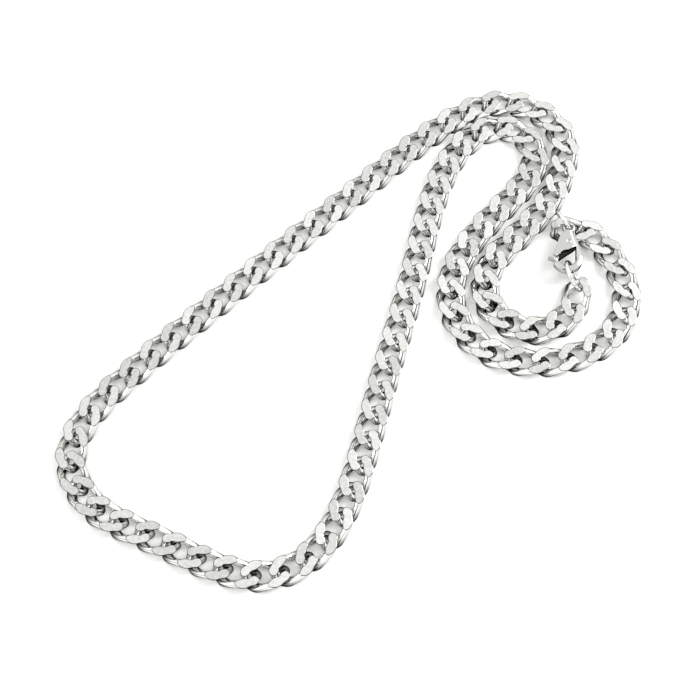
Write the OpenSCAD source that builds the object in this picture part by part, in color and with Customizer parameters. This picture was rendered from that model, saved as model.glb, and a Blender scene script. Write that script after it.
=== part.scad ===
/* [Chain] */
// Number of links in the chain
link_count = 92; // [84:1:100]
// Distance from one link to the next
link_pitch = 6.34; // [6.2:0.02:6.6]
// Length of one link over its ends, before the flats spread
link_length = 10.2; // [10:0.1:10.3]
// Width of one link over its sides, before the flats spread
link_width = 6.5; // [6.4:0.05:6.6]
// Height of the flattened chain
link_height = 2.1; // [2:0.05:2.3]
// Diameter of the wire the links are bent from
wire_d = 1.45; // [1.3:0.05:1.5]
// How far each end of a link is twisted out of flat, in degrees
link_twist = 56; // [52:1:58]
// Squareness of a link's ends, where 2 is an ellipse
link_square = 3.9; // [3.6:0.1:4.2]
// How far the pressed flats spread, as a share of what is pressed off the wire
flat_spread = 0.5; // [0.4:0.05:0.6]
// How far the first link is tipped up on the hook ring, in degrees
end_lift = 6.1; // [6:0.1:6.2]
// How far the second link is tipped up with it, in degrees
next_lift = 1; // [0.8:0.1:1.2]

/* [Clasp] */
// Eye hole to the bottom of the claw
clasp_length = 12.2; // [11.8:0.1:12.8]
// Outer radius of the claw
claw_r = 3.55; // [3.4:0.05:3.8]
// Width of the claw's bar seen from above
claw_bar = 1.55; // [1.3:0.05:1.7]
// Thickness of the clasp body
clasp_t = 2.6; // [2.4:0.1:2.8]
// Radius of the eye's hole
eye_hole_r = 0.82; // [0.8:0.02:1]
// Width of the metal around the eye
eye_bar = 0.7; // [0.6:0.05:0.9]
// Height of the metal around the eye
eye_t = 1.1; // [0.9:0.05:1.2]
// Half width of the neck beside the eye
neck_half_w = 0.8; // [0.7:0.05:1]
// Half width of the shoulders over the lever's pivot
shoulder_half_w = 2.1; // [2:0.05:2.3]
// Turn of the clasp seen from above, in degrees
clasp_turn = -7.4; // [-9:0.2:-7]

/* [Lever] */
// Diameter of the rivet the lever turns on
rivet_d = 0.9; // [0.8:0.05:1]
// Running clearance around the rivet
rivet_gap = 0.1; // [0.08:0.01:0.14]
// Thickness of the lever's plate
lever_t = 1; // [0.8:0.05:1.1]
// Clearance above and below the lever's plate
slot_gap = 0.15; // [0.1:0.01:0.2]
// Thickness of the lever's tongue and thumb tab
tongue_t = 1.9; // [1.7:0.1:2.1]
// Width of the lever's tongue
tongue_w = 1.1; // [1:0.05:1.3]

/* [Rings] */
// Outer diameter of the ring in the claw
hook_ring_d = 8.1; // [8.05:0.05:8.15]
// Wire of the ring in the claw
hook_ring_wire = 1; // [0.95:0.05:1]
// Outer diameter of the ring in the eye
eye_ring_d = 6.35; // [6.3:0.05:6.4]
// Wire of the ring in the eye
eye_ring_wire = 0.9; // [0.85:0.05:0.9]

/* [Hidden] */
$fn = 48;
steel = "#c9ccd0";
far = 60;

// The clasp lies along its own Y axis, its eye at the origin and its claw towards -Y.
eye_at = [50.42, 23.96, 3.72];
claw_at = [0.15, claw_r - clasp_length];
claw_mid_r = claw_r - claw_bar / 2;
function turned(v, a) = [v.x * cos(a) - v.y * sin(a), v.x * sin(a) + v.y * cos(a)];
claw_foot = [eye_at.x, eye_at.y] + turned([claw_at.x, claw_at.y - claw_mid_r], clasp_turn);
// The ring hangs from the claw's foot, with its rim this far past the foot.
rim_past_foot = 1.706;
hook_ring_at = claw_foot + (hook_ring_d / 2 - rim_past_foot) * unit([1.56, -1.75]);

// The lay of the chain on the surface, from the hook ring round to the clasp's eye.
route = concat([for (p = [[1.24, -1.56], [0.14, -7.11], [-3.41, -11.26]]) hook_ring_at + p], [
    [41.5, -2.5], [35.5, -0.5], [31, 4], [30, 10], [32, 16],
    [38.6, 23.35], [46.6, 32.9], [51.15, 43.9], [51.7, 51], [48.6, 57.5], [42.5, 61.6], [35.4, 62.65],
    [23.85, 57.2], [-4.5, 31.5], [-28, 9.5], [-51, -13], [-60, -23.5], [-63.5, -34], [-58, -45],
    [-41, -54], [-29.5, -59.5], [-20, -61.5], [-11, -58], [-3.5, -48], [7, -12], [13.5, 12],
    [18, 31], [21.5, 41.5], [25.6, 48.9], [30.15, 53.3], [35.3, 55.3], [40.7, 53.6], [44.1, 49.1],
    [43.9, 43.2], [39.8, 36.6], [31.8, 27.6], [25, 18], [22, 8.5], [24, -1], [31, -8], [41, -10.5],
    [51.5, -8.5], [59.5, -3], [63.5, 6], [62, 15], [58, 21.5], [54.6, 24.95], [48.57, 25.04]
]);
route_middle = [0, 0];
route_held = 3;
route_steps = 14;
route_trial = 1.05;

stations = 14;
sides = 6;
corner_share = 1.053;
wire_r = wire_d / 2;
half_len = (link_length - wire_d) / 2;
half_wid = (link_width - wire_d) / 2;
half_h = link_height / 2;

function last(list) = list[len(list) - 1];
function held(i) = i < route_held || i > len(route) - 1 - route_held;
function grown(k) = [for (i = [0:len(route) - 1])
    held(i) ? route[i] : route_middle + (route[i] - route_middle) * k];

// A centripetal curve through four points, from the second to the third.
function between(a, b, ta, tb, t) = ((tb - t) * a + (t - ta) * b) / (tb - ta);
function bend(p0, p1, p2, p3, u) =
    let (t1 = sqrt(norm(p1 - p0)), t2 = t1 + sqrt(norm(p2 - p1)), t3 = t2 + sqrt(norm(p3 - p2)))
    let (t = t1 + (t2 - t1) * u)
    let (a1 = between(p0, p1, 0, t1, t), a2 = between(p1, p2, t1, t2, t), a3 = between(p2, p3, t2, t3, t))
    between(between(a1, a2, 0, t2, t), between(a2, a3, t1, t3, t), t1, t2, t);
function smooth(r) = let (
        n = len(r),
        p = concat([2 * r[0] - r[1]], r, [2 * r[n - 1] - r[n - 2]])
    ) [for (i = [0:n - 2], k = [0:route_steps - (i == n - 2 ? 0 : 1)])
        bend(p[i], p[i + 1], p[i + 2], p[i + 3], k / route_steps)];
function distances(p) = [for (i = 0, s = 0; i < len(p);
    s = s + norm(p[min(i + 1, len(p) - 1)] - p[i]), i = i + 1) s];

chain_length = link_count * link_pitch;
plain_length = last(distances(smooth(grown(1))));
trial_length = last(distances(smooth(grown(route_trial))));
growth = 1 + (route_trial - 1) * (chain_length - plain_length) / (trial_length - plain_length);
path = smooth(grown(growth));
path_s = distances(path);
path_x = [for (i = [0:len(path) - 1]) [path_s[i], path[i].x]];
path_y = [for (i = [0:len(path) - 1]) [path_s[i], path[i].y]];
hinge_step = last(path_s) / link_count;
function hinge(i) = [lookup(i * hinge_step, path_x), lookup(i * hinge_step, path_y)];
function middle(i) = (hinge(i) + hinge(i + 1)) / 2;
function heading(i) = (hinge(i + 1) - hinge(i)) / norm(hinge(i + 1) - hinge(i));

// One twisted, flattened link along X: the wire's middle line, then its corners.
function bent(v) = sign(v) * pow(abs(v), 2 / link_square);
function wire_at(t) = let (
        x = half_len * bent(cos(t)),
        w = half_wid * bent(sin(t)),
        turn = -link_twist * x / half_len
    ) [x, w * cos(turn), w * sin(turn)];
function unit(v) = v / norm(v);
function corners_at(t) = let (
        c = wire_at(t),
        along = unit(wire_at(t + 360 / stations) - wire_at(t - 360 / stations)),
        across = unit(cross(along, [0, 0, 1])),
        up = cross(across, along),
        ground = max(0, abs(c.z) + wire_r - half_h),
        wide = 1 + flat_spread * ground / wire_r,
        corner_r = wire_r * corner_share
    ) [for (k = [0:sides - 1]) let (
        p = c + corner_r * (wide * cos(360 * k / sides) * across + sin(360 * k / sides) * up)
    ) [p.x, p.y, half_h + max(-half_h, min(half_h, p.z))]];
link_points = [for (j = [0:stations - 1]) each corners_at(360 * j / stations)];
link_faces = [for (j = [0:stations - 1], k = [0:sides - 1]) let (
        a = j * sides + k,
        b = j * sides + (k + 1) % sides,
        c = ((j + 1) % stations) * sides + (k + 1) % sides,
        d = ((j + 1) % stations) * sides + k
    ) each [[a, b, c], [a, c, d]]];
function placed(p, at, dir) = [at.x + p.x * dir.x - p.y * dir.y, at.y + p.x * dir.y + p.y * dir.x, p.z];
// The first two links ride up on the hook ring, each turned about its far end.
lifts = [end_lift, next_lift];
far_tip = max([for (p = link_points) p.x]);
function lifted(p, a) = let (x = p.x - far_tip)
    [far_tip + x * cos(a) + p.z * sin(a), p.y, p.z * cos(a) - x * sin(a)];
function link_at(i) = let (m = middle(i), d = heading(i), lift = i < len(lifts) ? lifts[i] : 0)
    [for (p = link_points) placed(lifted(p, lift), m, d)];
all_links = [for (i = [0:link_count - 1]) link_at(i)];
all_x = [for (l = all_links, p = l) p.x];
all_y = [for (l = all_links, p = l) p.y];
centre = [(min(all_x) + max(all_x)) / 2, (min(all_y) + max(all_y)) / 2, 0];
half_count = floor(link_count / 2);

module links(from, to) {
    points = [for (i = [from:to]) each all_links[i]];
    faces = [for (i = [0:to - from], f = link_faces) f + [1, 1, 1] * i * len(link_points)];
    color(steel) translate(-centre) polyhedron(points, faces);
}
module chain_lower() {
    links(0, half_count - 1);
}
module chain_upper() {
    links(half_count, link_count - 1);
}

eye_mid_r = eye_hole_r + eye_bar / 2;
mouth_r = claw_r - claw_bar;
pivot_at = [0.3, -4.4];
rivet_r = rivet_d / 2;
boss_r = 1.1;
slot_t = lever_t + 2 * slot_gap;

module place_clasp() {
    color(steel) translate(eye_at - centre) rotate([0, 0, clasp_turn]) children();
}
// A long hole's shape, standing on end: a round-edged bar seen in section.
module bar_section(w, t) {
    square([w, t - w], center = true);
    for (side = [-1, 1]) translate([0, side * (t - w) / 2]) circle(d = w);
}
module ring_bar(r, w, t, from = 0, sweep = 360) {
    rotate([0, 0, from]) rotate_extrude(angle = sweep) translate([r, 0]) bar_section(w, t);
}
module flank_outline() {
    polygon([
        [-neck_half_w, -1], [neck_half_w, -1],
        [shoulder_half_w, -3.6], claw_at + [2.85, 2.65], claw_at + [claw_r - 0.05, 0.6],
        claw_at + [0.5 - claw_r, 0.6], claw_at + [-2.85, 2.75], [-shoulder_half_w, -3.2]
    ]);
}
// The mouth, bounded above by the slanted edge of the cheeks.
edge_right = claw_at + [1.8, 3.35];
edge_left = claw_at + [-2.8, -0.05];
module mouth_outline() {
    translate(claw_at) circle(r = mouth_r);
    polygon([edge_right, edge_left, claw_at + [0, -0.6], claw_at + [mouth_r, 0]]);
}
// The tongue ends on a circle about the rivet, so that it swings clear of the hook's tip.
tongue_reach = pivot_at.y - claw_at.y + 1.75;
hook_gap = 0.12;
hook_tip_turn = 242.5;
cheek_corner = claw_at + [-3.35, 0.65];
gate_far = claw_at - [3, 2] * claw_r;
function on_turn(r, a) = pivot_at + r * [cos(a), sin(a)];
module gate_outline() {
    intersection() {
        translate(pivot_at) circle(r = tongue_reach + hook_gap);
        polygon([
            edge_left, cheek_corner, [gate_far.x, cheek_corner.y], gate_far, [claw_at.x, gate_far.y], claw_at
        ]);
    }
    polygon([
        edge_left, cheek_corner, [gate_far.x, cheek_corner.y],
        on_turn(2 * tongue_reach, hook_tip_turn), on_turn(tongue_reach, hook_tip_turn)
    ]);
}
module slot_outline() {
    polygon([
        [-0.9, -3], [1.3, -3], [2.3, -5], claw_at + [2.25, 0.65],
        claw_at + [-6.15, -0.85], claw_at + [-6.15, 2.45], [-2.4, -5.2]
    ]);
}
module clasp_body() {
    place_clasp() {
        difference() {
            union() {
                linear_extrude(clasp_t, center = true) flank_outline();
                translate(claw_at) ring_bar(claw_mid_r, claw_bar, clasp_t);
            }
            linear_extrude(far, center = true) mouth_outline();
            linear_extrude(far, center = true) gate_outline();
            linear_extrude(slot_t, center = true) slot_outline();
            cylinder(r = eye_hole_r + eye_bar / 2, h = far, center = true);
        }
        ring_bar(eye_mid_r, eye_bar, eye_t);
        translate(pivot_at) cylinder(r = rivet_r, h = clasp_t, center = true);
    }
}
tongue_from = 188;
tongue_sweep = 50;
module lever_outline() {
    translate(pivot_at) circle(r = boss_r);
    polygon([
        [-0.7, -4], [1.3, -4.3], claw_at + [1.55, 2.65], claw_at + [-1.9, -0.55],
        claw_at + [-3.35, -0.25], claw_at + [-3.15, 1.45], [-2, -5.3]
    ]);
}
module thumb_outline() {
    polygon([
        for (p = [[-2.35, -0.4], [-3.45, 0.25], [-4.45, -0.1], [-4.45, -0.25], [-3.2, -0.55], [-2.35, -0.85]])
            claw_at + p
    ]);
}
module clasp_lever() {
    place_clasp() difference() {
        union() {
            linear_extrude(lever_t, center = true) lever_outline();
            intersection() {
                translate(claw_at) ring_bar(claw_mid_r, tongue_w, tongue_t, tongue_from, tongue_sweep);
                translate(pivot_at) cylinder(r = tongue_reach, h = far, center = true);
            }
            linear_extrude(tongue_t, center = true) thumb_outline();
        }
        translate(pivot_at) cylinder(r = rivet_r + rivet_gap, h = far, center = true);
    }
}

hook_ring_turn = -77.2;
hook_ring_lean = 119;
eye_ring_at = [eye_at.x, eye_at.y] + [-1, 2.4];
eye_ring_turn = 118.7;
eye_ring_lean = 70.9;
module ring(at, d, wire, turn, lean) {
    mid_r = (d - wire) / 2;
    color(steel) translate([at.x, at.y, wire / 2 + mid_r * sin(lean)] - centre)
        rotate([lean, 0, turn]) rotate_extrude() translate([mid_r, 0]) circle(d = wire);
}
module hook_ring() {
    ring(hook_ring_at, hook_ring_d, hook_ring_wire, hook_ring_turn, hook_ring_lean);
}
module eye_ring() {
    ring(eye_ring_at, eye_ring_d, eye_ring_wire, eye_ring_turn, eye_ring_lean);
}

chain_lower();
chain_upper();
clasp_body();
clasp_lever();
hook_ring();
eye_ring();
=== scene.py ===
# Looks of a polished curb chain necklace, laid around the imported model. Everything is in metres.
import math
import random

import bmesh
import bpy
import numpy as np
from mathutils import Matrix, Vector


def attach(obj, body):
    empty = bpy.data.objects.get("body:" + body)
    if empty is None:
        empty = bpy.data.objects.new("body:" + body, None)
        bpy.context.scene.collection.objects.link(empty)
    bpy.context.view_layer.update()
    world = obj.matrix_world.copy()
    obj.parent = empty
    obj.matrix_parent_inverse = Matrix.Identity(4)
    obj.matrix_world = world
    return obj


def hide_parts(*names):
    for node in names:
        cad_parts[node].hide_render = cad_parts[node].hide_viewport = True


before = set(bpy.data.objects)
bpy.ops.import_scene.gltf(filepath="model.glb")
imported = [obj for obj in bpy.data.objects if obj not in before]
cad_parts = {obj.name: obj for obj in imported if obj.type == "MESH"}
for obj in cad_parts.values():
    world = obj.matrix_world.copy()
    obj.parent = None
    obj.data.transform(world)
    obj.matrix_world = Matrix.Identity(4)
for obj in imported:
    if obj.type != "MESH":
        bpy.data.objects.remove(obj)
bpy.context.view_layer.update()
mm = 0.001
shadeSeed = 7
sameCorner = 0.0005 * mm
sameSeam = 0.001 * mm
random.seed(shadeSeed)


# Colours and nodes

mixSockets = {"share": 0, "low": 6, "high": 7, "result": 2}


def toLinear(hexColour):
    # shader sockets take linear values, and the colours here are sRGB hex
    parts = [int(hexColour[i:i + 2], 16) / 255 for i in (1, 3, 5)]
    return [p / 12.92 if p <= 0.04045 else ((p + 0.055) / 1.055) ** 2.4 for p in parts] + [1.0]


def addNode(tree, kind, settings=None, links=None):
    node = tree.nodes.new(kind)
    for name, value in (settings or {}).items():
        if name in node.inputs:
            node.inputs[name].default_value = value
        else:
            setattr(node, name, value)
    for name, source in (links or {}).items():
        tree.links.new(source, node.inputs[name])
    return node


def noiseOf(tree, place, size, detail, roughness=0.5):
    settings = {"Scale": 1 / size, "Detail": detail, "Roughness": roughness}
    return addNode(tree, "ShaderNodeTexNoise", settings, {"Vector": place}).outputs["Fac"]


def bumpOf(tree, height, strength, depth):
    settings = {"Strength": strength, "Distance": depth}
    return addNode(tree, "ShaderNodeBump", settings, {"Height": height}).outputs["Normal"]


def rangeOf(tree, value, taken=(0.0, 1.0), given=(0.0, 1.0)):
    settings = {"From Min": taken[0], "From Max": taken[1], "To Min": given[0], "To Max": given[1]}
    return addNode(tree, "ShaderNodeMapRange", settings, {"Value": value}).outputs["Result"]


def mixOf(tree, share, low, high):
    mix = addNode(tree, "ShaderNodeMix", {"data_type": "RGBA"}, {mixSockets["share"]: share})
    mix.inputs[mixSockets["low"]].default_value = toLinear(low)
    mix.inputs[mixSockets["high"]].default_value = toLinear(high)
    return mix.outputs[mixSockets["result"]]


def newMaterial(name):
    material = bpy.data.materials.new(name)
    material.use_nodes = True
    return material, material.node_tree, material.node_tree.nodes["Principled BSDF"]


def newMetal(name):
    material, tree, shader = newMaterial(name)
    shader.inputs["Metallic"].default_value = 1.0
    place = addNode(tree, "ShaderNodeTexCoord").outputs["Object"]
    return material, tree, shader, place


def dressMetal(tree, shader, colour, roughness, normal):
    tree.links.new(colour, shader.inputs["Base Color"])
    tree.links.new(roughness, shader.inputs["Roughness"])
    tree.links.new(normal, shader.inputs["Normal"])


polish = {
    "edge": "#1e1e1d",
    # painted shade: the dark colour given to the metal low down, where shade falls between the parts
    "paintedShadeColour": "#303030",
    "roughness": (0.06, 0.13),
    "smearSize": 3.0 * mm,
    "smearDetail": 3.0,
    "hairlineSize": 0.35 * mm,
    "hairlineDetail": 6.0,
    "hairlineDepth": 0.004 * mm,
    "hairlineStrength": 0.5,
}


def polishedSteel(name, colour, paintedShadeBelow, paintedShadeEndsAt):
    # stainless wire: sharp reflections, broken by faint smears and hairlines from the mop;
    # low down, between the links and inside the clasp, the colour is painted darker as painted shade;
    # steel reflects less light near grazing, which draws a thin dark line round every wire
    material, tree, shader, place = newMetal(name)
    smear = noiseOf(tree, place, polish["smearSize"], polish["smearDetail"])
    hairline = noiseOf(tree, place, polish["hairlineSize"], polish["hairlineDetail"])
    # painted shade: the base colour darkens towards the bottom of each piece, by height
    height = addNode(tree, "ShaderNodeSeparateXYZ", {}, {"Vector": place}).outputs["Z"]
    paintedShadeShare = rangeOf(tree, height, taken=(paintedShadeBelow, paintedShadeEndsAt))
    shader.inputs["Specular Tint"].default_value = toLinear(polish["edge"])
    dressMetal(tree, shader,
               mixOf(tree, paintedShadeShare, polish["paintedShadeColour"], colour),
               rangeOf(tree, smear, given=polish["roughness"]),
               bumpOf(tree, hairline, polish["hairlineStrength"], polish["hairlineDepth"]))
    return material


lapping = {
    "colours": ("#b9b9b6", "#eeeeeb"),
    "colourRange": (0.35, 1.15),
    "roughness": (0.24, 0.36),
    "patchSize": 2.2 * mm,
    "patchDetail": 4.0,
    "mottleSize": 0.7 * mm,
    "mottleDetail": 3.0,
    "grainSize": 0.22 * mm,
    "grainDetail": 5.0,
    "grainRoughness": 0.7,
    "grainDepth": 0.006 * mm,
    "grainStrength": 0.6,
}


def lappedSteel():
    # the flats ground on both sides of the chain: satin, a little greyer and patchy, with a fine grain;
    # each link has a shade of its own, because each met the lap a little differently
    material, tree, shader, place = newMetal("lappedSteel")
    patch = noiseOf(tree, place, lapping["patchSize"], lapping["patchDetail"])
    mottle = noiseOf(tree, place, lapping["mottleSize"], lapping["mottleDetail"])
    grain = noiseOf(tree, place, lapping["grainSize"], lapping["grainDetail"], lapping["grainRoughness"])
    shade = addNode(tree, "ShaderNodeAttribute", {"attribute_name": "linkShade"}).outputs["Fac"]
    both = addNode(tree, "ShaderNodeMath", {"operation": "ADD"}, {0: shade, 1: mottle}).outputs["Value"]
    dressMetal(tree, shader,
               mixOf(tree, rangeOf(tree, both, taken=lapping["colourRange"]), *lapping["colours"]),
               rangeOf(tree, patch, given=lapping["roughness"]),
               bumpOf(tree, grain, lapping["grainStrength"], lapping["grainDepth"]))
    return material


# the wire of links and rings: full colour on top, with painted shade making it dark where it dips down
# to the table
steelRound = polishedSteel("polishedSteel", "#ededea", paintedShadeBelow=0.2 * mm, paintedShadeEndsAt=1.15 * mm)
# the cast clasp: tumbled, so a little greyer than the wire; painted shade darkens its lower part
steelClasp = polishedSteel("tumbledSteel", "#c6c6c3", paintedShadeBelow=2.6 * mm, paintedShadeEndsAt=3.4 * mm)
# the lever's plate inside the clasp: coloured near black as a painted shadow, which makes the slot
# between the cheeks dark
steelRecess = polishedSteel("paintedSlotShadow", "#2e2e2d", paintedShadeBelow=0.0, paintedShadeEndsAt=1.0 * mm)
# a painted dark line: the narrow rim round each flat is coloured dark grey, a painted reflection along
# each flat's edge
steelRim = polishedSteel("paintedEdgeLine", "#6a6a68", paintedShadeBelow=0.0, paintedShadeEndsAt=0.1 * mm)
steelFlat = lappedSteel()
print("materials made")


# Places of the links and rings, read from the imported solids

def packedMesh(node):
    bm = bmesh.new()
    bm.from_mesh(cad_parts[node].data)
    bmesh.ops.remove_doubles(bm, verts=bm.verts, dist=sameCorner)
    return bm


def islandsOf(node):
    # each loose solid of a node, as an array of its own corner points; a set has no order of its own,
    # so solids and points are sorted by place, which gives each link the same shade in every run
    bm = packedMesh(node)
    waiting = set(bm.verts)
    found = []
    while waiting:
        edge = [waiting.pop()]
        island = []
        while edge:
            v = edge.pop()
            island.append(v.co.copy())
            near = {e.other_vert(v) for e in v.link_edges} & waiting
            waiting -= near
            edge.extend(near)
        found.append(np.array(sorted(island, key=tuple)))
    bm.free()
    return sorted(found, key=lambda island: tuple(island[0]))


def seatOf(points):
    # where a solid sits: its middle with its long, cross and short axes, and its sizes along them
    middle = points.mean(0)
    spread = np.linalg.eigh(np.cov((points - middle).T))[1]
    long, short = Vector(spread[:, 2]), Vector(spread[:, 0])
    if short.z < 0:
        short = -short
    cross = short.cross(long)
    seat = Matrix((long, cross, short)).transposed().to_4x4()
    seat.translation = middle
    sizes = np.ptp((points - middle) @ np.array(seat.to_3x3()), axis=0)
    return seat, sizes


def finishPiece(bm, name, materials, body, node):
    bmesh.ops.recalc_face_normals(bm, faces=bm.faces)
    mesh = bpy.data.meshes.new(name)
    bm.to_mesh(mesh)
    bm.free()
    for material in materials:
        mesh.materials.append(material)
    piece = bpy.data.objects.new(name, mesh)
    bpy.context.scene.collection.objects.link(piece)
    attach(piece, body)
    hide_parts(node)
    return piece


# Chain: one link is spun as a ring of wire, squared, twisted and then ground flat on both sides

link = {
    "length": 10.2 * mm,
    "width": 6.5 * mm,
    "wire": 1.45 * mm,
    "stations": 56,
    "sides": 18,
    "twist": 56.0,
    "square": 3.6,
    "spread": 0.5,
    "rimWidth": 0.14 * mm,
    "rimDepth": 0.05 * mm,
    "rimWeld": 0.03 * mm,
    "flatIndex": 1,
    "rimIndex": 2,
    "shades": (0.05, 0.45),
}


def wireAt(turn, halfLength, halfWidth):
    def bent(v):
        return math.copysign(abs(v) ** (2 / link["square"]), v)
    x = halfLength * bent(math.cos(turn))
    w = halfWidth * bent(math.sin(turn))
    lean = -math.radians(link["twist"]) * x / halfLength
    return Vector((x, w * math.cos(lean), w * math.sin(lean)))


def shapeWire(bm, halfLength, halfWidth, halfHeight):
    # bends the plain ring of wire: its middle line is squared and twisted, and its section follows;
    # where the wire will be ground it is pressed a little wider first
    wireR = link["wire"] / 2
    step = math.pi / link["stations"]
    for v in bm.verts:
        turn = math.atan2(v.co.y, v.co.x)
        out, up = math.hypot(v.co.x, v.co.y) - halfLength, v.co.z
        middle = wireAt(turn, halfLength, halfWidth)
        ahead, behind = (wireAt(turn + s * step, halfLength, halfWidth) for s in (1, -1))
        along = (ahead - behind).normalized()
        across = along.cross(Vector((0, 0, 1))).normalized()
        ground = max(0.0, abs(middle.z) + wireR - halfHeight)
        wide = 1 + link["spread"] * ground / wireR
        v.co = middle + wide * out * across + up * across.cross(along)


def grindFlat(bm, side, halfHeight):
    # cuts one side of the link off level, a little low, and raises the flat over a narrow sloped rim
    level = halfHeight - link["rimDepth"]
    cut = bmesh.ops.bisect_plane(bm, geom=bm.verts[:] + bm.edges[:] + bm.faces[:],
                                 plane_co=(0, 0, side * level), plane_no=(0, 0, side),
                                 dist=sameSeam, clear_outer=True)
    rim = [g for g in cut["geom_cut"] if isinstance(g, bmesh.types.BMVert)]
    bmesh.ops.remove_doubles(bm, verts=rim, dist=link["rimWeld"])
    openEdges = [e for e in bm.edges if e.is_boundary]
    flats = bmesh.ops.holes_fill(bm, edges=openEdges, sides=0)["faces"]
    bmesh.ops.recalc_face_normals(bm, faces=bm.faces)
    for e in {e for f in flats for e in f.edges}:
        e.smooth = False
    rims = bmesh.ops.inset_region(bm, faces=flats, thickness=link["rimWidth"], depth=link["rimDepth"],
                                  use_even_offset=True)["faces"]
    for f in rims:
        f.material_index = link["rimIndex"]
    for f in flats:
        f.material_index = link["flatIndex"]
        f.smooth = False
        for e in f.edges:
            e.smooth = False


def makeLink(height):
    halfLength = (link["length"] - link["wire"]) / 2
    halfWidth = (link["width"] - link["wire"]) / 2
    halfHeight = height / 2
    bm = bmesh.new()
    section = Matrix.Translation((halfLength, 0, 0)) @ Matrix.Rotation(math.pi / 2, 4, "X")
    bmesh.ops.create_circle(bm, segments=link["sides"], radius=link["wire"] / 2, matrix=section)
    bmesh.ops.spin(bm, geom=bm.edges[:], cent=(0, 0, 0), axis=(0, 0, 1), angle=2 * math.pi,
                   steps=link["stations"], use_merge=True)
    bmesh.ops.remove_doubles(bm, verts=bm.verts, dist=sameSeam)
    shapeWire(bm, halfLength, halfWidth, halfHeight)
    for f in bm.faces:
        f.smooth = True
    for side in (1, -1):
        grindFlat(bm, side, halfHeight)
    bmesh.ops.triangulate(bm, faces=[f for f in bm.faces if len(f.verts) > 4])
    mesh = bpy.data.meshes.new("linkBlank")
    bm.to_mesh(mesh)
    bm.free()
    return mesh


seats = {node: [seatOf(points) for points in islandsOf(node)] for node in ("chain_lower", "chain_upper")}
linkSizes = np.median([sizes for places in seats.values() for _, sizes in places], axis=0).tolist()
print("link size in mm", [round(size / mm, 2) for size in linkSizes])
linkMesh = makeLink(linkSizes[2])
print("link faces", len(linkMesh.polygons))


def layChain(node, name):
    bm = bmesh.new()
    shade = bm.faces.layers.float.new("linkShade")
    for seat, _ in seats[node]:
        known, knownFaces = len(bm.verts), len(bm.faces)
        bm.from_mesh(linkMesh)
        bm.verts.ensure_lookup_table()
        bm.faces.ensure_lookup_table()
        bmesh.ops.transform(bm, matrix=seat, verts=bm.verts[known:])
        linkShade = random.uniform(*link["shades"])
        for f in bm.faces[knownFaces:]:
            f[shade] = linkShade
    finishPiece(bm, name, [steelRound, steelFlat, steelRim], "necklace", node)


layChain("chain_lower", "linksFromHookRing")
layChain("chain_upper", "linksToClaspEye")
print("chain laid")


# Rings: drawn wire bent round, with the thin split of a jump ring

ring = {
    "stations": 96,
    "sides": 20,
    "split": 0.06 * mm,
    "hookSplitTurn": 250,
    "eyeSplitTurn": 40,
}


def makeRing(node, name, splitTurn):
    seat, sizes = seatOf(islandsOf(node)[0])
    outer, wire = max(sizes[0], sizes[1]), sizes[2]
    midR = (outer - wire) / 2
    gap = ring["split"] / midR
    bm = bmesh.new()
    section = Matrix.Translation((midR, 0, 0)) @ Matrix.Rotation(math.pi / 2, 4, "X")
    bmesh.ops.create_circle(bm, segments=ring["sides"], radius=wire / 2, matrix=section, cap_ends=True)
    bmesh.ops.spin(bm, geom=bm.faces[:], cent=(0, 0, 0), axis=(0, 0, 1), angle=2 * math.pi - gap,
                   steps=ring["stations"])
    bmesh.ops.remove_doubles(bm, verts=bm.verts, dist=sameSeam)
    for f in bm.faces:
        f.smooth = len(f.verts) == 4
    for e in bm.edges:
        e.smooth = all(len(f.verts) == 4 for f in e.link_faces)
    turned = seat @ Matrix.Rotation(math.radians(splitTurn), 4, "Z")
    bmesh.ops.transform(bm, matrix=turned, verts=bm.verts)
    finishPiece(bm, name, [steelRound], "necklace", node)


makeRing("hook_ring", "hookRing", ring["hookSplitTurn"])
makeRing("eye_ring", "eyeRing", ring["eyeSplitTurn"])
print("rings made")


# Clasp: cast parts, so the solid's edges are run over by a voxel remesh and softened

clasp = {
    "voxel": 0.075 * mm,
    "softFactor": 0.5,
    "bodySoft": 9,
    "leverSoft": 6,
    "eye": Vector((50.367, 23.419, 3.72)) * mm,
    "turn": -7.4,
    "claw": Vector((0.15, -8.65)) * mm,
    "clawRadius": 3.55 * mm,
    "neckHalfWidth": 0.45 * mm,
    "widening": 0.365,
    "cheekInside": 0.75 * mm,
    "doming": 0.75,
    "rivet": Vector((0.3, -4.4)) * mm,
    "rivetRadius": 0.5 * mm,
    "rivetGroove": 0.09 * mm,
    "tongueEdge": -1.9 * mm,
    "recessIndex": 1,
}
toClasp = Matrix.Translation(clasp["eye"]) @ Matrix.Rotation(math.radians(clasp["turn"]), 4, "Z")
fromWorld = toClasp.inverted()


def markRecess(bm):
    # the lever's plate lies in the slot between the cheeks; its faces there get the near-black painted
    # shadow
    for f in bm.faces:
        if (fromWorld @ f.calc_center_median()).x > clasp["tongueEdge"]:
            f.material_index = clasp["recessIndex"]


def domeCheeks(bm):
    # the cheeks bulge: they fall away from the clasp's middle line, and a groove rings the rivet's head
    for v in bm.verts:
        p = fromWorld @ v.co
        side = math.copysign(1, p.z)
        if abs(p.z) < clasp["cheekInside"]:
            continue
        if p.y < clasp["claw"].y:
            share = (p.xy - clasp["claw"]).length / clasp["clawRadius"]
        else:
            middle = clasp["claw"].x * p.y / clasp["claw"].y
            share = abs(p.x - middle) / (clasp["neckHalfWidth"] - p.y * clasp["widening"])
        fall = clasp["doming"] * min(1.0, share) ** 2
        p.z = side * (clasp["cheekInside"] + (abs(p.z) - clasp["cheekInside"]) * (1 - fall))
        if abs((p.xy - clasp["rivet"]).length - clasp["rivetRadius"]) < clasp["rivetGroove"]:
            p.z -= side * clasp["rivetGroove"]
        v.co = toClasp @ p


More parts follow.
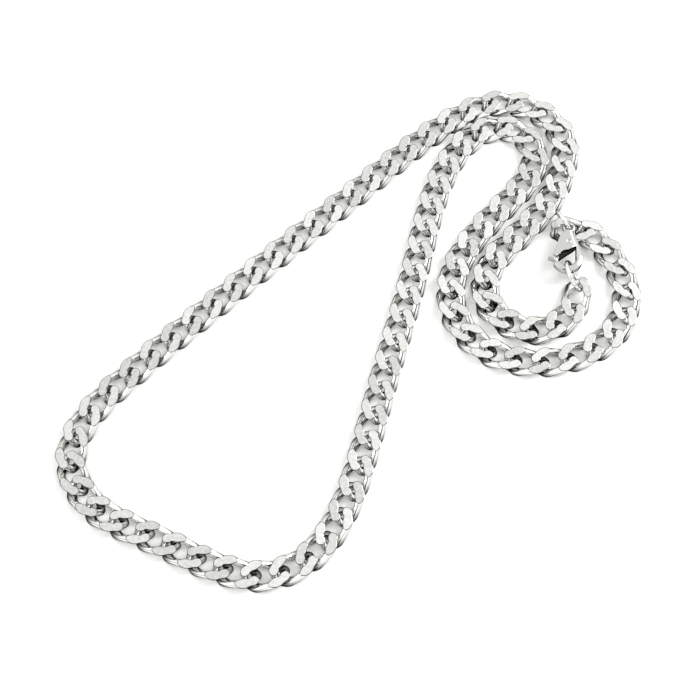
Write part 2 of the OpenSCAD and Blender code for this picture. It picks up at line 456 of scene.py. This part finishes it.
def castPart(node, name, body, soft, finish):
    bm = packedMesh(node)
    rough = bpy.data.meshes.new(name + "Rough")
    bm.to_mesh(rough)
    bm.free()
    blank = bpy.data.objects.new(name + "Rough", rough)
    bpy.context.scene.collection.objects.link(blank)
    remesh = blank.modifiers.new("remesh", "REMESH")
    remesh.mode = "VOXEL"
    remesh.voxel_size = clasp["voxel"]
    soften = blank.modifiers.new("soften", "SMOOTH")
    soften.factor = clasp["softFactor"]
    soften.iterations = soft
    shaped = bpy.data.meshes.new_from_object(blank.evaluated_get(bpy.context.evaluated_depsgraph_get()))
    bpy.data.objects.remove(blank)
    bm = bmesh.new()
    bm.from_mesh(shaped)
    finish(bm)
    for f in bm.faces:
        f.smooth = True
    return finishPiece(bm, name, [steelClasp, steelRecess], body, node)


claspBody = castPart("clasp_body", "claspBody", "necklace", clasp["bodySoft"], domeCheeks)
claspLever = castPart("clasp_lever", "claspLever", "lever", clasp["leverSoft"], markRecess)
print("clasp made", len(claspBody.data.polygons), len(claspLever.data.polygons))


# Stage: a white table in a light tent, with the dark mouth of the tent where the camera looks in

stage = {
    "floorSize": 3.0,
    "floorColour": "#f4f4f3",
    "floorRoughness": 0.9,
    "floorGloss": 0.1,
    "aim": Vector((-1.43, -7.12, 0.0)) * mm,
    "distance": 343.4 * mm,
    "elevation": 62.8,
    "focal": 76.94,
    "sensor": 36.0,
    "clip": (0.01, 10.0),
    "tentColour": "#ffffff",
    "tentBand": (0.02, 0.2),
    "tentLight": (0.02, 1.18),
    "mouthHalfAngle": 13.0,
    "mouthSoftness": 1.35,
    "mouthDark": 0.02,
}


def makeFloor():
    bm = bmesh.new()
    bmesh.ops.create_grid(bm, x_segments=1, y_segments=1, size=stage["floorSize"] / 2)
    mesh = bpy.data.meshes.new("tableTop")
    bm.to_mesh(mesh)
    bm.free()
    floor = bpy.data.objects.new("tableTop", mesh)
    bpy.context.scene.collection.objects.link(floor)
    material, _, shader = newMaterial("whiteCard")  # matt white card: even, no gloss
    shader.inputs["Base Color"].default_value = toLinear(stage["floorColour"])
    shader.inputs["Roughness"].default_value = stage["floorRoughness"]
    shader.inputs["Specular IOR Level"].default_value = stage["floorGloss"]
    mesh.materials.append(material)


def makeCamera():
    lean = math.radians(stage["elevation"])
    back = Vector((0, -math.cos(lean), math.sin(lean)))
    data = bpy.data.cameras.new("camera")
    data.lens = stage["focal"]
    data.sensor_width = stage["sensor"]
    data.clip_start, data.clip_end = stage["clip"]
    camera = bpy.data.objects.new("camera", data)
    bpy.context.scene.collection.objects.link(camera)
    camera.location = stage["aim"] + back * stage["distance"]
    camera.rotation_euler = (-back).to_track_quat("-Z", "Y").to_euler()
    bpy.context.scene.camera = camera
    return back


def makeTent(mouth):
    # the walls fade to dark near the table, and the mouth is a soft round hole toward the camera
    world = bpy.data.worlds.new("tent")
    bpy.context.scene.world = world
    world.use_nodes = True
    tree = world.node_tree
    way = addNode(tree, "ShaderNodeTexCoord").outputs["Generated"]
    height = addNode(tree, "ShaderNodeSeparateXYZ", {}, {"Vector": way}).outputs["Z"]
    walls = rangeOf(tree, height, taken=stage["tentBand"], given=stage["tentLight"])
    toMouth = addNode(tree, "ShaderNodeVectorMath", {"operation": "DOT_PRODUCT"}, {0: way})
    toMouth.inputs[1].default_value = mouth
    inner = math.cos(math.radians(stage["mouthHalfAngle"]))
    outer = math.cos(math.radians(stage["mouthHalfAngle"] * stage["mouthSoftness"]))
    hole = rangeOf(tree, toMouth.outputs["Value"], taken=(outer, inner), given=(1.0, stage["mouthDark"]))
    light = addNode(tree, "ShaderNodeMath", {"operation": "MULTIPLY"}, {0: walls, 1: hole})
    background = tree.nodes["Background"]
    tree.links.new(light.outputs["Value"], background.inputs["Strength"])
    background.inputs["Color"].default_value = toLinear(stage["tentColour"])


lamps = [
    {"name": "keyPanel", "at": (0.62, 0.3, 0.58), "size": 0.45, "watts": 4.4},
    {"name": "fillPanel", "at": (-0.75, -0.25, 0.5), "size": 0.6, "watts": 1.8},
]


def makeLamps():
    for lamp in lamps:
        data = bpy.data.lights.new(lamp["name"], "AREA")
        data.shape = "DISK"
        data.size = lamp["size"]
        data.energy = lamp["watts"]
        panel = bpy.data.objects.new(lamp["name"], data)
        bpy.context.scene.collection.objects.link(panel)
        panel.location = lamp["at"]
        panel.rotation_euler = (-Vector(lamp["at"])).to_track_quat("-Z", "Y").to_euler()


makeFloor()
mouthWay = makeCamera()
makeTent(mouthWay)
makeLamps()
bpy.context.scene.view_settings.view_transform = "Standard"
print("stage set")
